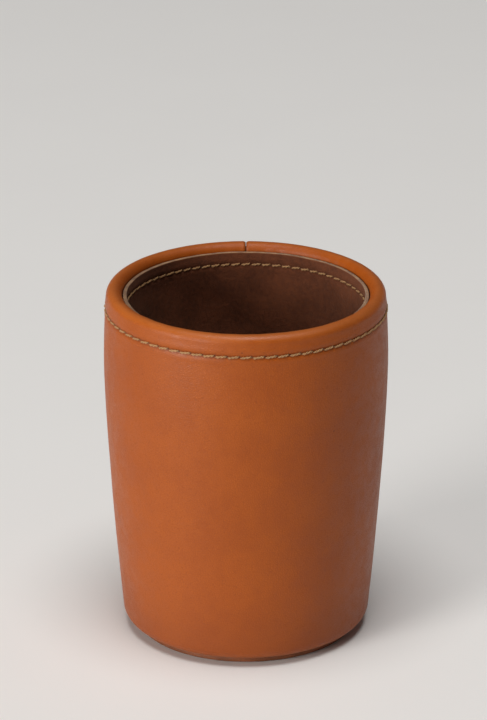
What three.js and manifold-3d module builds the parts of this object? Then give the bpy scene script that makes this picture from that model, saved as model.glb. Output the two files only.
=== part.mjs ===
// A lined leather dice cup with its six dice, standing mouth up.
// Millimetres, +Z up. The origin is the centre of the base disc's underside.
import * as THREE from "three";
import { mergeVertices } from "three/addons/utils/BufferGeometryUtils.js";
import Module from "manifold-3d";

const wasm = await Module();
wasm.setup();

// Outer form of the cup.
const CUP_HEIGHT = 95;
const BELLY_RADIUS = 37.5;
const BELLY_HEIGHT = 74; // where the body is widest
const BASE_INSET = 5; // how much narrower the body is at the base than at the belly
const MOUTH_INSET = 0.9; // and at the mouth
const BODY_CURVE = 1.5; // 1 is a straight taper, 2 a round one
const EDGE_ROUND = 3.2; // outer radius of the turned lower edge

// Layers of the wall, from the outside in, and the clearance between any two pieces.
const LEATHER = 1.3;
const CORE_WALL = 2.6;
const LINING = 0.9;
const GAP = 0.3;

// The leather's turned edges.
const RIM_HEM_THICKNESS = 0.9; // the leather is pared where it turns in at the rim
const RIM_HEM_DEPTH = 9;
const BASE_HEM_WIDTH = 9;
const LINING_DROP = 2; // the lining's cut edge lies this far below the rim

// The base, from the ground up.
const BASE_DISC_THICKNESS = 1.5;
const BASE_DISC_INSET = 0.3; // from the start of the rounded lower edge
const BASE_DISC_EDGE = 0.4;
const CORE_BASE_THICKNESS = 2.4;
const FLOOR_PAD_THICKNESS = 1.6;
const FLOOR_PAD_EDGE = 0.5;

// The seams.
const SEAM_SLIT = 0.3; // where the two ends of a sheet meet
const SEAM_STITCH_OFFSET = 3.4;
const SEAM_STITCH_RISE = 5; // from the rounded edge to the first stitch
const STRIP_WIDTH = 14;
const STRIP_THICKNESS = 0.6;
const STRIP_OVERRUN = 1.5; // the strip runs past the last stitch
const THREAD_RADIUS = 0.3;
const RIM_STITCH_DROP = 5.5;
const BASE_STITCH_INSET = 3;

// The dice.
const DIE_SIZE = 13;
const DIE_ROUND_RADIUS = 8.85; // radius of the ball that rounds its corners
const PIP_RADIUS = 1.05;
const PIP_DEPTH = 0.3;
const PIP_SPACING = 3.2;

// Steps of the round shapes.
const ROUND_STEPS = 40;
const WALL_STEPS = 6;
const EDGE_STEPS = 3;
const LIP_STEPS = 5;
const THREAD_SIDES = 6;
const SEAM_STEPS = 10;
const PIP_SIDES = 6;
const BALL_STEPS = 16;

// Places that follow from the sizes above.
const UNDERSIDE = BASE_DISC_THICKNESS + GAP; // of the turned-in leather
const CORE_BOTTOM = UNDERSIDE + LEATHER + GAP;
const FLOOR_TOP = CORE_BOTTOM + CORE_BASE_THICKNESS + GAP; // the lining and the pad stand here
const CORE_DEPTH = LEATHER + GAP; // depths are counted inwards from the body's surface
const LIP_WIDTH = CORE_DEPTH + CORE_WALL;
const LINING_DEPTH = LIP_WIDTH + GAP;
const BORE_DEPTH = LINING_DEPTH + LINING;
const LIP_HEIGHT = CUP_HEIGHT - LIP_WIDTH / 2; // the middle of the rounded lip
const RIM_HEM_END = CUP_HEIGHT - RIM_HEM_DEPTH;
const RIM_STITCH_HEIGHT = CUP_HEIGHT - RIM_STITCH_DROP;
const GROOVE_RADIUS = THREAD_RADIUS + GAP;

const FINISHES = {
  smooth_leather: { color: 0x9b4e1c, roughness: 0.45 },
  board: { color: 0x8c7355, roughness: 0.9 },
  suede: { color: 0x6b3a26, roughness: 0.95 },
  felt: { color: 0x2a211d, roughness: 1.0 },
  sole_leather: { color: 0x7c3f18, roughness: 0.6 },
  thread: { color: 0xb98a58, roughness: 0.8 },
  ivory: { color: 0xeadfc3, roughness: 0.3 },
};

function point(radius, height) {
  return new THREE.Vector2(radius, height);
}

// Radius of the cup's outer surface at a height.
function bodyRadius(z) {
  if (z > BELLY_HEIGHT) {
    const above = (z - BELLY_HEIGHT) / (CUP_HEIGHT - BELLY_HEIGHT);
    return BELLY_RADIUS - MOUTH_INSET * above ** 2;
  }
  const below = (BELLY_HEIGHT - z) / BELLY_HEIGHT;
  return BELLY_RADIUS - BASE_INSET * below ** BODY_CURVE;
}

// The face that lies at a depth inside the body's surface, from one height to another.
function wallFace(depth, from, to, steps = WALL_STEPS) {
  return Array.from({ length: steps + 1 }, (_, i) => {
    const z = THREE.MathUtils.lerp(from, to, i / steps);
    return point(bodyRadius(z) - depth, z);
  });
}

function arc(centre, radius, fromDegrees, toDegrees, steps) {
  return Array.from({ length: steps + 1 }, (_, i) => {
    const angle = THREE.MathUtils.degToRad(THREE.MathUtils.lerp(fromDegrees, toDegrees, i / steps));
    return point(centre.x + radius * Math.cos(angle), centre.y + radius * Math.sin(angle));
  });
}

// The rounded lower edge: its centre, and where it runs into the leaning wall.
const LEAN = Math.atan((BASE_INSET * BODY_CURVE) / BELLY_HEIGHT);
const EDGE_TOP = UNDERSIDE + EDGE_ROUND * (1 - Math.sin(LEAN));
const EDGE_CENTRE = point(
  bodyRadius(EDGE_TOP) - EDGE_ROUND * Math.cos(LEAN),
  UNDERSIDE + EDGE_ROUND,
);
const LEAN_DEGREES = THREE.MathUtils.radToDeg(LEAN);
const BASE_HEM_RADIUS = EDGE_CENTRE.x - BASE_HEM_WIDTH;
const BASE_DISC_RADIUS = EDGE_CENTRE.x - BASE_DISC_INSET;

function lowerEdge(depth) {
  return arc(EDGE_CENTRE, EDGE_ROUND - depth, -90, -LEAN_DEGREES, EDGE_STEPS);
}

// A half-round groove for a thread, in a face that runs upwards past it.
function stitchGroove(centre) {
  return arc(centre, GROOVE_RADIUS, -90, -270, EDGE_STEPS);
}

// A profile of radius and height, given counter-clockwise, turned about the cup's axis.
function turned(profile) {
  return new THREE.LatheGeometry(profile, ROUND_STEPS).rotateX(Math.PI / 2);
}

function ring(profile) {
  return turned([...profile, profile[0].clone()]);
}

function toSolid(geometry) {
  const bare = geometry.clone();
  bare.deleteAttribute("normal");
  bare.deleteAttribute("uv");
  const merged = mergeVertices(bare, 1e-4);
  return new wasm.Manifold(
    new wasm.Mesh({
      numProp: 3,
      vertProperties: merged.attributes.position.array,
      triVerts: new Uint32Array(merged.index.array),
    }),
  );
}

function toGeometry(solid) {
  const mesh = solid.getMesh();
  return new THREE.BufferGeometry()
    .setAttribute("position", new THREE.BufferAttribute(mesh.vertProperties, 3))
    .setIndex(new THREE.BufferAttribute(mesh.triVerts, 1));
}

// A box from one corner to the other.
function block(low, high) {
  const size = high.clone().sub(low);
  const centre = low.clone().add(high).multiplyScalar(0.5);
  return new THREE.BoxGeometry(size.x, size.y, size.z).translate(centre.x, centre.y, centre.z);
}

// A slab that runs from the axis out past the wall, towards +Y on side 1 and -Y on side -1.
function sideSlab(width, side, low, high) {
  const reach = side * (BELLY_RADIUS + 10);
  return block(
    new THREE.Vector3(-width / 2, Math.min(0, reach), low),
    new THREE.Vector3(width / 2, Math.max(0, reach), high),
  );
}

// The smooth outer leather: one sheet, turned over the rim and under the base, its ends
// meeting at the back.
function outerLeather() {
  const lipCentre = point(bodyRadius(LIP_HEIGHT) - LIP_WIDTH / 2, LIP_HEIGHT);
  const channel = LIP_WIDTH - LEATHER - RIM_HEM_THICKNESS; // what the core's top fits in
  const channelCentre = point(bodyRadius(LIP_HEIGHT) - LEATHER - channel / 2, LIP_HEIGHT);
  const hemFace = LIP_WIDTH - RIM_HEM_THICKNESS;
  const grooveCentre = point(bodyRadius(RIM_STITCH_HEIGHT), RIM_STITCH_HEIGHT);
  const profile = [
    point(BASE_HEM_RADIUS, UNDERSIDE),
    ...lowerEdge(0),
    ...wallFace(0, EDGE_TOP, RIM_STITCH_HEIGHT - GROOVE_RADIUS).slice(1, -1),
    ...stitchGroove(grooveCentre),
    ...arc(lipCentre, LIP_WIDTH / 2, 0, 180, LIP_STEPS),
    ...wallFace(LIP_WIDTH, RIM_HEM_END, LIP_HEIGHT, 2).reverse().slice(1),
    ...wallFace(hemFace, RIM_HEM_END, LIP_HEIGHT, 2),
    ...arc(channelCentre, channel / 2, 180, 0, EDGE_STEPS).slice(1),
    ...wallFace(LEATHER, EDGE_TOP, LIP_HEIGHT).reverse().slice(1, -1),
    ...lowerEdge(LEATHER).reverse(),
    point(BASE_HEM_RADIUS, UNDERSIDE + LEATHER),
  ];
  const slit = toSolid(sideSlab(SEAM_SLIT, 1, -1, CUP_HEIGHT + 1));
  let sheet = toSolid(ring(profile)).subtract(slit);
  for (const side of [-1, 1]) {
    sheet = sheet.subtract(toSolid(seamThread(side, GROOVE_RADIUS, GAP)));
  }
  return toGeometry(sheet);
}

// One row of the side seam's stitching, or with a larger radius and an overrun its groove.
function seamThread(side, radius, overrun) {
  const low = EDGE_TOP + SEAM_STITCH_RISE - overrun;
  const high = seamTop() + overrun;
  const route = Array.from({ length: SEAM_STEPS + 1 }, (_, i) => {
    const z = THREE.MathUtils.lerp(low, high, i / SEAM_STEPS);
    const across = side * SEAM_STITCH_OFFSET;
    return new THREE.Vector3(across, Math.sqrt(bodyRadius(z) ** 2 - across ** 2), z);
  });
  const section = new THREE.Shape(
    Array.from({ length: THREAD_SIDES }, (_, i) => {
      const angle = (2 * Math.PI * i) / THREAD_SIDES;
      return point(radius * Math.cos(angle), radius * Math.sin(angle));
    }),
  );
  return new THREE.ExtrudeGeometry(section, {
    steps: SEAM_STEPS,
    extrudePath: new THREE.CatmullRomCurve3(route),
  });
}

// The side seam ends below the turned-in hem, where the wall has its full core.
function seamTop() {
  return RIM_HEM_END - 2 * STRIP_OVERRUN;
}

// A flat strip of a ring between two depths, on the seam's side of the cup.
function seamStrip(outerDepth, innerDepth, width, low, high) {
  const profile = [
    ...wallFace(outerDepth, low, high),
    ...wallFace(innerDepth, low, high).reverse(),
  ];
  return toSolid(ring(profile)).intersect(toSolid(sideSlab(width, 1, low - 1, high + 1)));
}

const STRIP_LOW = EDGE_TOP + SEAM_STITCH_RISE - STRIP_OVERRUN;
const STRIP_HIGH = seamTop() + STRIP_OVERRUN;

function seamBackingStrip() {
  const backDepth = CORE_DEPTH + STRIP_THICKNESS;
  return toGeometry(seamStrip(CORE_DEPTH, backDepth, STRIP_WIDTH, STRIP_LOW, STRIP_HIGH));
}

// The stiff board inside the wall, pared at the rim for the hem and at the back for the strip.
function coreWall() {
  const rimDepth = CORE_DEPTH + CORE_WALL - RIM_HEM_THICKNESS - GAP;
  const rimWall = rimDepth - CORE_DEPTH;
  const topCentre = point(bodyRadius(LIP_HEIGHT) - CORE_DEPTH - rimWall / 2, LIP_HEIGHT);
  const profile = [
    point(bodyRadius(CORE_BOTTOM) - LIP_WIDTH, CORE_BOTTOM),
    ...lowerEdge(CORE_DEPTH),
    ...wallFace(CORE_DEPTH, EDGE_TOP, LIP_HEIGHT).slice(1, -1),
    ...arc(topCentre, rimWall / 2, 0, 180, EDGE_STEPS),
    ...wallFace(rimDepth, RIM_HEM_END - GAP, LIP_HEIGHT, 2).reverse().slice(1),
    ...wallFace(LIP_WIDTH, CORE_BOTTOM, RIM_HEM_END - GAP).reverse().slice(0, -1),
  ];
  const channelDepth = CORE_DEPTH + STRIP_THICKNESS + GAP;
  const channel = seamStrip(0, channelDepth, STRIP_WIDTH + 2 * GAP, STRIP_LOW - GAP, STRIP_HIGH + GAP);
  return toGeometry(toSolid(ring(profile)).subtract(channel));
}

// The suede lining, its cut edge standing just inside the lip, its ends meeting at the front.
function liningWall() {
  const top = CUP_HEIGHT - LINING_DROP;
  const edge = LINING / 3;
  const grooveCentre = point(bodyRadius(RIM_STITCH_HEIGHT) - BORE_DEPTH, RIM_STITCH_HEIGHT);
  const profile = [
    ...wallFace(LINING_DEPTH, FLOOR_TOP, top - edge),
    point(bodyRadius(top) - LINING_DEPTH - edge, top),
    point(bodyRadius(top) - BORE_DEPTH + edge, top),
    point(bodyRadius(top - edge) - BORE_DEPTH, top - edge),
    ...arc(grooveCentre, GROOVE_RADIUS, 90, -90, EDGE_STEPS),
    ...wallFace(BORE_DEPTH, FLOOR_TOP, RIM_STITCH_HEIGHT - GROOVE_RADIUS).reverse().slice(1),
  ];
  const slit = toSolid(sideSlab(SEAM_SLIT, -1, 0, CUP_HEIGHT + 1));
  return toGeometry(toSolid(ring(profile)).subtract(slit));
}

function disc(radius, bottom, thickness) {
  return turned([
    point(0, bottom),
    point(radius, bottom),
    point(radius, bottom + thickness),
    point(0, bottom + thickness),
  ]);
}

// The board disc inside the core wall, which carries the lining and the floor pad.
function coreBase() {
  const radius = bodyRadius(CORE_BOTTOM) - LIP_WIDTH - GAP;
  return disc(radius, CORE_BOTTOM, CORE_BASE_THICKNESS);
}

// The disc that levels the ground inside the turned-under hem.
function baseFiller() {
  return disc(BASE_HEM_RADIUS - GAP, UNDERSIDE, LEATHER);
}

// The felt pad that the dice fall on.
function floorPad() {
  const radius = floorRadius() - GAP;
  const top = FLOOR_TOP + FLOOR_PAD_THICKNESS;
  return turned([
    point(0, FLOOR_TOP),
    point(radius, FLOOR_TOP),
    point(radius, top - FLOOR_PAD_EDGE),
    point(radius - FLOOR_PAD_EDGE, top),
    point(0, top),
  ]);
}

function floorRadius() {
  return bodyRadius(FLOOR_TOP) - BORE_DEPTH;
}

// The leather disc that the cup stands on, with a groove under it for its stitching.
function baseDisc() {
  const stitchRadius = BASE_DISC_RADIUS - BASE_STITCH_INSET;
  const groove = arc(point(stitchRadius, THREAD_RADIUS + GAP / 2), GROOVE_RADIUS, 180, 0, EDGE_STEPS);
  return turned([
    point(0, 0),
    point(stitchRadius - GROOVE_RADIUS, 0),
    ...groove,
    point(stitchRadius + GROOVE_RADIUS, 0),
    point(BASE_DISC_RADIUS - BASE_DISC_EDGE, 0),
    point(BASE_DISC_RADIUS, BASE_DISC_EDGE),
    point(BASE_DISC_RADIUS, BASE_DISC_THICKNESS),
    point(0, BASE_DISC_THICKNESS),
  ]);
}

// A thread that runs all the way round the cup.
function threadRing(radius, height) {
  const step = 360 / THREAD_SIDES;
  return ring(arc(point(radius, height), THREAD_RADIUS, 0, 360 - step, THREAD_SIDES - 1));
}

// Where the pips of a face lie, in steps of PIP_SPACING, with the face up.
const PIP_PATTERNS = {
  1: [[0, 0]],
  2: [[-1, -1], [1, 1]],
  3: [[-1, -1], [0, 0], [1, 1]],
  4: [[-1, -1], [-1, 1], [1, -1], [1, 1]],
  5: [[-1, -1], [-1, 1], [0, 0], [1, -1], [1, 1]],
  6: [[-1, -1], [0, -1], [1, -1], [-1, 1], [0, 1], [1, 1]],
};

// The turn about X or Y that brings each face to the top; opposite faces add up to seven.
const QUARTER = Math.PI / 2;
const FACE_UP = {
  1: new THREE.Euler(0, 0, 0),
  2: new THREE.Euler(-QUARTER, 0, 0),
  3: new THREE.Euler(0, -QUARTER, 0),
  4: new THREE.Euler(0, QUARTER, 0),
  5: new THREE.Euler(QUARTER, 0, 0),
  6: new THREE.Euler(Math.PI, 0, 0),
};

// A die about its own centre, with the one on top: a cube with ball-rounded corners.
function dieGeometry() {
  const cube = toSolid(new THREE.BoxGeometry(DIE_SIZE, DIE_SIZE, DIE_SIZE));
  const ball = toSolid(new THREE.SphereGeometry(DIE_ROUND_RADIUS, BALL_STEPS, BALL_STEPS / 2));
  let die = cube.intersect(ball);
  for (const [number, pattern] of Object.entries(PIP_PATTERNS)) {
    const toFace = new THREE.Matrix4().makeRotationFromEuler(FACE_UP[number]).invert();
    for (const [across, along] of pattern) {
      const cutter = new THREE.CylinderGeometry(PIP_RADIUS, PIP_RADIUS, 2 * PIP_DEPTH, PIP_SIDES)
        .rotateX(QUARTER)
        .translate(across * PIP_SPACING, along * PIP_SPACING, DIE_SIZE / 2)
        .applyMatrix4(toFace);
      die = die.subtract(toSolid(cutter));
    }
  }
  return toGeometry(die);
}

// Where the dice lie: the bearing from the axis, the share of the free floor that they stand
// out by, the turn about the vertical and the number on top.
const DICE = [
  { bearing: -28, reach: 0.17, turn: -39, top: 1 },
  { bearing: -7, reach: 1.0, turn: -8, top: 2 },
  { bearing: -106, reach: 0.91, turn: -28, top: 3 },
  { bearing: 58, reach: 0.9, turn: -42, top: 4 },
  { bearing: -167, reach: 0.94, turn: -22, top: 5 },
  { bearing: 139, reach: 0.72, turn: -20, top: 6 },
];

function placeDie(mesh, { bearing, reach, turn, top }) {
  const distance = reach * (floorRadius() - DIE_ROUND_RADIUS);
  const angle = THREE.MathUtils.degToRad(bearing);
  const height = FLOOR_TOP + FLOOR_PAD_THICKNESS + GAP + DIE_SIZE / 2;
  mesh.position.set(distance * Math.cos(angle), distance * Math.sin(angle), height);
  const upright = new THREE.Quaternion().setFromEuler(FACE_UP[top]);
  const spin = new THREE.Quaternion().setFromAxisAngle(
    new THREE.Vector3(0, 0, 1),
    THREE.MathUtils.degToRad(turn),
  );
  mesh.quaternion.copy(spin.multiply(upright));
}

function piece(name, finish, geometry) {
  const mesh = new THREE.Mesh(
    geometry,
    new THREE.MeshStandardMaterial({ ...FINISHES[finish], metalness: 0 }),
  );
  mesh.name = name;
  return mesh;
}

const cup = new THREE.Group();
cup.add(piece("outer_leather", "smooth_leather", outerLeather()));
cup.add(piece("seam_backing_strip", "sole_leather", seamBackingStrip()));
cup.add(piece("core_wall", "board", coreWall()));
cup.add(piece("core_base", "board", coreBase()));
cup.add(piece("lining_wall", "suede", liningWall()));
cup.add(piece("floor_pad", "felt", floorPad()));
cup.add(piece("base_filler", "board", baseFiller()));
cup.add(piece("base_disc", "sole_leather", baseDisc()));
cup.add(
  piece("rim_stitch_outer", "thread", threadRing(bodyRadius(RIM_STITCH_HEIGHT), RIM_STITCH_HEIGHT)),
);
cup.add(
  piece(
    "rim_stitch_inner",
    "thread",
    threadRing(bodyRadius(RIM_STITCH_HEIGHT) - BORE_DEPTH, RIM_STITCH_HEIGHT),
  ),
);
cup.add(piece("seam_stitch_left", "thread", seamThread(-1, THREAD_RADIUS, 0)));
cup.add(piece("seam_stitch_right", "thread", seamThread(1, THREAD_RADIUS, 0)));
cup.add(
  piece(
    "base_stitch",
    "thread",
    threadRing(BASE_DISC_RADIUS - BASE_STITCH_INSET, THREAD_RADIUS + GAP / 2),
  ),
);

const dice = new THREE.Group();
DICE.forEach((place) => {
  const die = piece("die_" + place.top, "ivory", dieGeometry());
  placeDie(die, place);
  dice.add(die);
});

const group = new THREE.Group();
group.add(cup, dice);
export default group;
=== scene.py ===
"""The looks of a lined leather dice cup and its six dice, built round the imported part."""

import math

import bmesh
import bpy
import numpy as np
from bpy.props import FloatProperty, FloatVectorProperty, IntProperty, PointerProperty
from mathutils import Euler, Matrix, Vector, noise


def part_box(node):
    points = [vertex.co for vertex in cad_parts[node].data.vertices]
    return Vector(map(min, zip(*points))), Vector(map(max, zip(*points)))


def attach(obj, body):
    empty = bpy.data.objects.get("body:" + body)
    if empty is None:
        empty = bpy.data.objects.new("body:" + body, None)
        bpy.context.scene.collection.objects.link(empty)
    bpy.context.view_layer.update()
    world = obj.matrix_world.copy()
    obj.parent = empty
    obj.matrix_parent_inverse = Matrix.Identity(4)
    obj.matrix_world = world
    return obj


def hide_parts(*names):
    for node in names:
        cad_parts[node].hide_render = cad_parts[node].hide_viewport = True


bl_info = {
    "name": "Leather Dice Cup",
    "version": (1, 0, 0),
    "blender": (4, 5, 0),
    "location": "3D View > Sidebar > Dice Cup",
    "description": "Builds a lined leather dice cup with its stitching and its six dice",
    "category": "Add Mesh",
}

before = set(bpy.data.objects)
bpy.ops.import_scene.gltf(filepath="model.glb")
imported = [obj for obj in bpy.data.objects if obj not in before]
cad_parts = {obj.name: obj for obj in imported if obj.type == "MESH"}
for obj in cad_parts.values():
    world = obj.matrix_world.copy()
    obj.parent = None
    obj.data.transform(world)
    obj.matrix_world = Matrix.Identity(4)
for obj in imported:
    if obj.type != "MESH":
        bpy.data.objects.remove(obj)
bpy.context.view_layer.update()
SHELL_LOW, SHELL_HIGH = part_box("outer_leather")
LINING_LOW, LINING_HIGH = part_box("lining_wall")
MM = 0.001

# Steps along the leather's outline: under the base, round the lower edge and over the rim.
HEM_STEPS, EDGE_STEPS, LIP_STEPS = 11, 12, 18
# Cells of a die's face: beside its pips and across a pip. A pip has four sides of such cells.
MARGIN_CELLS, PIP_CELLS = 5, 6
PIP_SIDES = 4 * PIP_CELLS
# Radius of each ring of a pip and how deep it lies, as shares of the pip's own.
PIP_RINGS = [(1.22, 0.0), (1.08, 0.02), (1.0, 0.10), (0.955, 0.34),
             (0.86, 0.62), (0.66, 0.85), (0.36, 0.97)]

# The studio, in metres. The floor lies just under the cup, so that their faces never coincide.
LIGHT_DISTANCE = 2.6
TOP_LIGHT_WIDTH, TOP_LIGHT_RISE = 1.6, math.radians(80)
FLOOR_REACH, FLOOR_TICKS, FLOOR_DROP = 6, 13, 0.2 * MM
CAMERA_PLACE = (-0.00066, -1.0202, 0.4794)

# How far each die is turned about the vertical, in degrees, by the number on top.
DIE_TURNS = {1: -39, 2: -8, 3: -28, 4: -42, 5: -22, 6: -20}
NUMBER_WORDS = {1: "one", 2: "two", 3: "three", 4: "four", 5: "five", 6: "six"}
PIP_PATTERNS = {
    1: [(0, 0)],
    2: [(-1, -1), (1, 1)],
    3: [(-1, -1), (0, 0), (1, 1)],
    4: [(-1, -1), (-1, 1), (1, -1), (1, 1)],
    5: [(-1, -1), (-1, 1), (0, 0), (1, -1), (1, 1)],
    6: [(-1, -1), (0, -1), (1, -1), (-1, 1), (0, 1), (1, 1)],
}
# Quarter turns about X and Y that bring each number to the top; opposite faces add up to seven.
QUARTER_TURNS = {1: (0, 0), 2: (-1, 0), 3: (0, -1), 4: (0, 1), 5: (1, 0), 6: (2, 0)}
FACE_UP = {number: Euler((x * math.pi / 2, y * math.pi / 2, 0))
           for number, (x, y) in QUARTER_TURNS.items()}


def length(name, description, millimetres, **limits):
    return FloatProperty(name=name, description=description, default=millimetres * MM,
                         unit="LENGTH", precision=5, **limits)


def colour(name, description, red, green, blue):
    return FloatVectorProperty(name=name, description=description, default=(red, green, blue),
                               subtype="COLOR", size=3, min=0.0, max=1.0)


def share(name, description, default):
    return FloatProperty(name=name, description=description, default=default,
                         min=0.0, max=1.0, subtype="FACTOR")


class DiceCupSizes(bpy.types.PropertyGroup):
    """The cup's own sizes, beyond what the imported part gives."""

    belly_height: length("Belly height", "Height at which the body is widest", 74)
    base_inset: length("Base inset", "How much narrower the body is at the base", 5)
    mouth_inset: length("Mouth inset", "How much narrower the body is at the mouth", 0.9)
    body_curve: FloatProperty(name="Body curve", description="1 is a straight taper, 2 a round one",
                              default=1.5, min=1.0, max=2.0)
    edge_round: length("Lower edge", "Outer radius of the turned lower edge", 3.2)
    leather: length("Leather", "Thickness of the outer leather", 1.3)
    hem: length("Pared hem", "Thickness of the leather where it turns in", 0.9)
    hem_depth: length("Hem depth", "How far the hem reaches down inside the rim", 9)
    base_hem: length("Base hem", "How far the leather is turned under the base", 9)
    lip_width: length("Lip width", "Width of the rounded rim", 4.2)
    lining: length("Lining", "Thickness of the suede lining", 0.9)
    lining_depth: length("Lining depth", "Depth of the lining under the outer surface", 4.5)
    slit: length("Slit", "Gap between the two ends of a sheet", 0.3)
    columns: IntProperty(name="Columns", description="Steps round the cup", default=432, min=72)


class StitchSizes(bpy.types.PropertyGroup):
    """The thread and the holes that it goes through."""

    ply: length("Ply", "Radius of one of the thread's two plies", 0.175)
    lay: length("Lay", "Length of one full turn of the plies", 1.9)
    valley: length("Valley", "How deep a row of stitches pulls the leather in", 0.26)
    slant: length("Slant", "How far a stitch's ends stand off its row", 0.2)
    dip: length("Dip", "How far the thread sinks into a hole", 0.62)
    rim_count: IntProperty(name="Rim stitches", description="Stitches round the rim",
                           default=72, min=12)
    seam_count: IntProperty(name="Seam stitches", description="Stitches in a row of the side seam",
                            default=23, min=4)
    base_count: IntProperty(name="Base stitches", description="Stitches round the base disc",
                            default=52, min=12)


class DieSizes(bpy.types.PropertyGroup):
    """The dice."""

    edge: length("Edge", "Width of a die across its flats", 13)
    ball: length("Ball radius", "Radius of the ball that rounds the corners", 8.85)
    pip: length("Pip", "Radius of a pip", 1.05)
    pip_depth: length("Pip depth", "How deep a pip is drilled", 0.3)
    pip_spacing: length("Pip spacing", "Distance between the rows of pips", 3.2)


class CupFinishes(bpy.types.PropertyGroup):
    """Colours and surfaces."""

    leather: colour("Leather", "Smooth outer leather", 0.385, 0.081, 0.0030)
    leather_shade: colour("Leather shade", "Darker parts of the leather", 0.338, 0.067, 0.0024)
    sole: colour("Sole leather", "Disc that the cup stands on", 0.20, 0.055, 0.014)
    raw_edge: colour("Cut edge", "Undyed fibres at a cut edge", 0.36, 0.20, 0.095)
    suede: colour("Suede", "Lining", 0.205, 0.062, 0.026)
    suede_shade: colour("Suede shade", "Nap brushed the other way", 0.100, 0.029, 0.012)
    felt: colour("Felt", "Pad on the floor", 0.020, 0.014, 0.011)
    felt_light: colour("Light felt fibres", "Stray fibres in the felt", 0.085, 0.062, 0.048)
    board: colour("Board", "Stiff board inside the wall", 0.26, 0.17, 0.09)
    thread: colour("Thread", "Waxed thread", 0.47, 0.25, 0.095)
    thread_ply_shade: colour("Thread shade", "Thread between its plies", 0.24, 0.11, 0.04)
    ivory: colour("Ivory", "Dice", 0.88, 0.79, 0.58)
    ivory_shade: colour("Ivory shade", "Clouds in the dice", 0.82, 0.70, 0.47)
    pip_paint: colour("Pip paint", "Paint in the pips", 0.012, 0.010, 0.009)
    leather_grain: length("Leather grain", "Width of a pebble of the grain", 0.55)
    leather_gloss: share("Leather roughness", "Roughness of the outer leather", 0.43)


class StudioSettings(bpy.types.PropertyGroup):
    """The floor, the lights and the camera."""

    floor: colour("Floor", "Pale floor", 0.86, 0.85, 0.84)
    key_power: FloatProperty(name="Key light", description="Power of the key light",
                             default=53.0, min=0.0, unit="POWER")
    key_turn: FloatProperty(name="Key turn", description="How far left of the camera the key is",
                            default=math.radians(49), subtype="ANGLE")
    key_rise: FloatProperty(name="Key rise", description="Key light's height above the horizon",
                            default=math.radians(12), subtype="ANGLE")
    key_width: FloatProperty(name="Key width", description="Width of the key light",
                             default=1.15, min=0.1, unit="LENGTH")
    top_power: FloatProperty(name="Top light", description="Power of the light over the cup",
                             default=46.0, min=0.0, unit="POWER")
    sky: FloatProperty(name="Room light", description="Strength of the light from all round",
                       default=0.07, min=0.0)
    camera_pitch: FloatProperty(name="Camera pitch", description="How far down the camera looks",
                                default=math.radians(21.66), subtype="ANGLE")
    camera_lens: FloatProperty(name="Lens", description="Focal length of the lens in millimetres",
                               default=207.8, min=10.0)


# ---------------------------------------------------------------- the cup's form


class CupForm:
    """The cup's outline, worked out from its sizes."""

    def __init__(self, sizes):
        self.sizes = sizes
        self.height = SHELL_HIGH.z
        self.underside = SHELL_LOW.z
        self.belly = SHELL_HIGH.x
        self.lip_middle = self.height - sizes.lip_width / 2
        self.lean = math.atan(sizes.base_inset * sizes.body_curve / sizes.belly_height)
        self.edge_top = self.underside + sizes.edge_round * (1 - math.sin(self.lean))
        self.edge_x = self.radius(self.edge_top) - sizes.edge_round * math.cos(self.lean)
        self.edge_z = self.underside + sizes.edge_round
        self.base_hem_radius = self.edge_x - sizes.base_hem
        self.bore_depth = sizes.lining_depth + sizes.lining

    def radius(self, z):
        """Radius of the body's outer surface at a height."""
        s = self.sizes
        above = np.clip((z - s.belly_height) / (self.height - s.belly_height), 0, None)
        below = np.clip((s.belly_height - z) / s.belly_height, 0, None)
        return self.belly - s.mouth_inset * above**2 - s.base_inset * below**s.body_curve

    def wall(self, depth, heights):
        """The face at a depth inside the body's surface."""
        return np.stack([self.radius(heights) - depth, heights], axis=1)


def arc(x, z, radius, start, stop, steps):
    turn = np.radians(np.linspace(start, stop, steps + 1))
    return np.stack([x + radius * np.cos(turn), z + radius * np.sin(turn)], axis=1)


def hump(distance, width):
    """1 at no distance, falling smoothly to nothing."""
    return np.exp(-((distance / width) ** 2))


def fade(value, start, stop):
    """0 before start, 1 after stop, smooth between them."""
    part = np.clip((value - start) / (stop - start), 0, 1)
    return part * part * (3 - 2 * part)


def ripple(points, size, seed=0):
    """Smooth noise from -1 to 1 with features of a size."""
    shift = Vector((3.1, 7.7, 5.3)) * (seed + 1)
    flat = points.reshape(-1, 3) / size
    values = [noise.noise(Vector(p) + shift) for p in flat]
    return np.array(values).reshape(points.shape[:-1])


def spin(profile, angles):
    """A profile of radius and height at each angle round the axis, as a grid of points."""
    across, up = profile[None, :, 0], profile[None, :, 1]
    turn = angles[:, None]
    return np.stack([across * np.cos(turn), across * np.sin(turn), up + 0 * turn], axis=2)


def outward(profile):
    """Unit normals of a profile, to the right of its run."""
    run = np.gradient(profile, axis=0)
    normal = np.stack([run[:, 1], -run[:, 0]], axis=1)
    return normal / np.linalg.norm(normal, axis=1, keepdims=True)


def sheet_angles(columns, half_slit, slit_at, near, step):
    """Angles round a sheet whose ends meet at slit_at, closer together near it."""
    low, high = slit_at + half_slit, slit_at + 2 * math.pi - half_slit
    even = np.linspace(low, high, columns + 1)
    fine = np.arange(0, near, step)
    even = even[(even > low + near) & (even < high - near)]
    return np.concatenate([low + fine, even, (high - fine)[::-1]])


def unit(vectors):
    return vectors / np.maximum(np.linalg.norm(vectors, axis=-1, keepdims=True), 1e-12)


def grid_faces(index):
    """The four-sided faces of a grid of point numbers."""
    return np.stack([index[:-1, :-1], index[1:, :-1], index[1:, 1:], index[:-1, 1:]], axis=-1)


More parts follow.
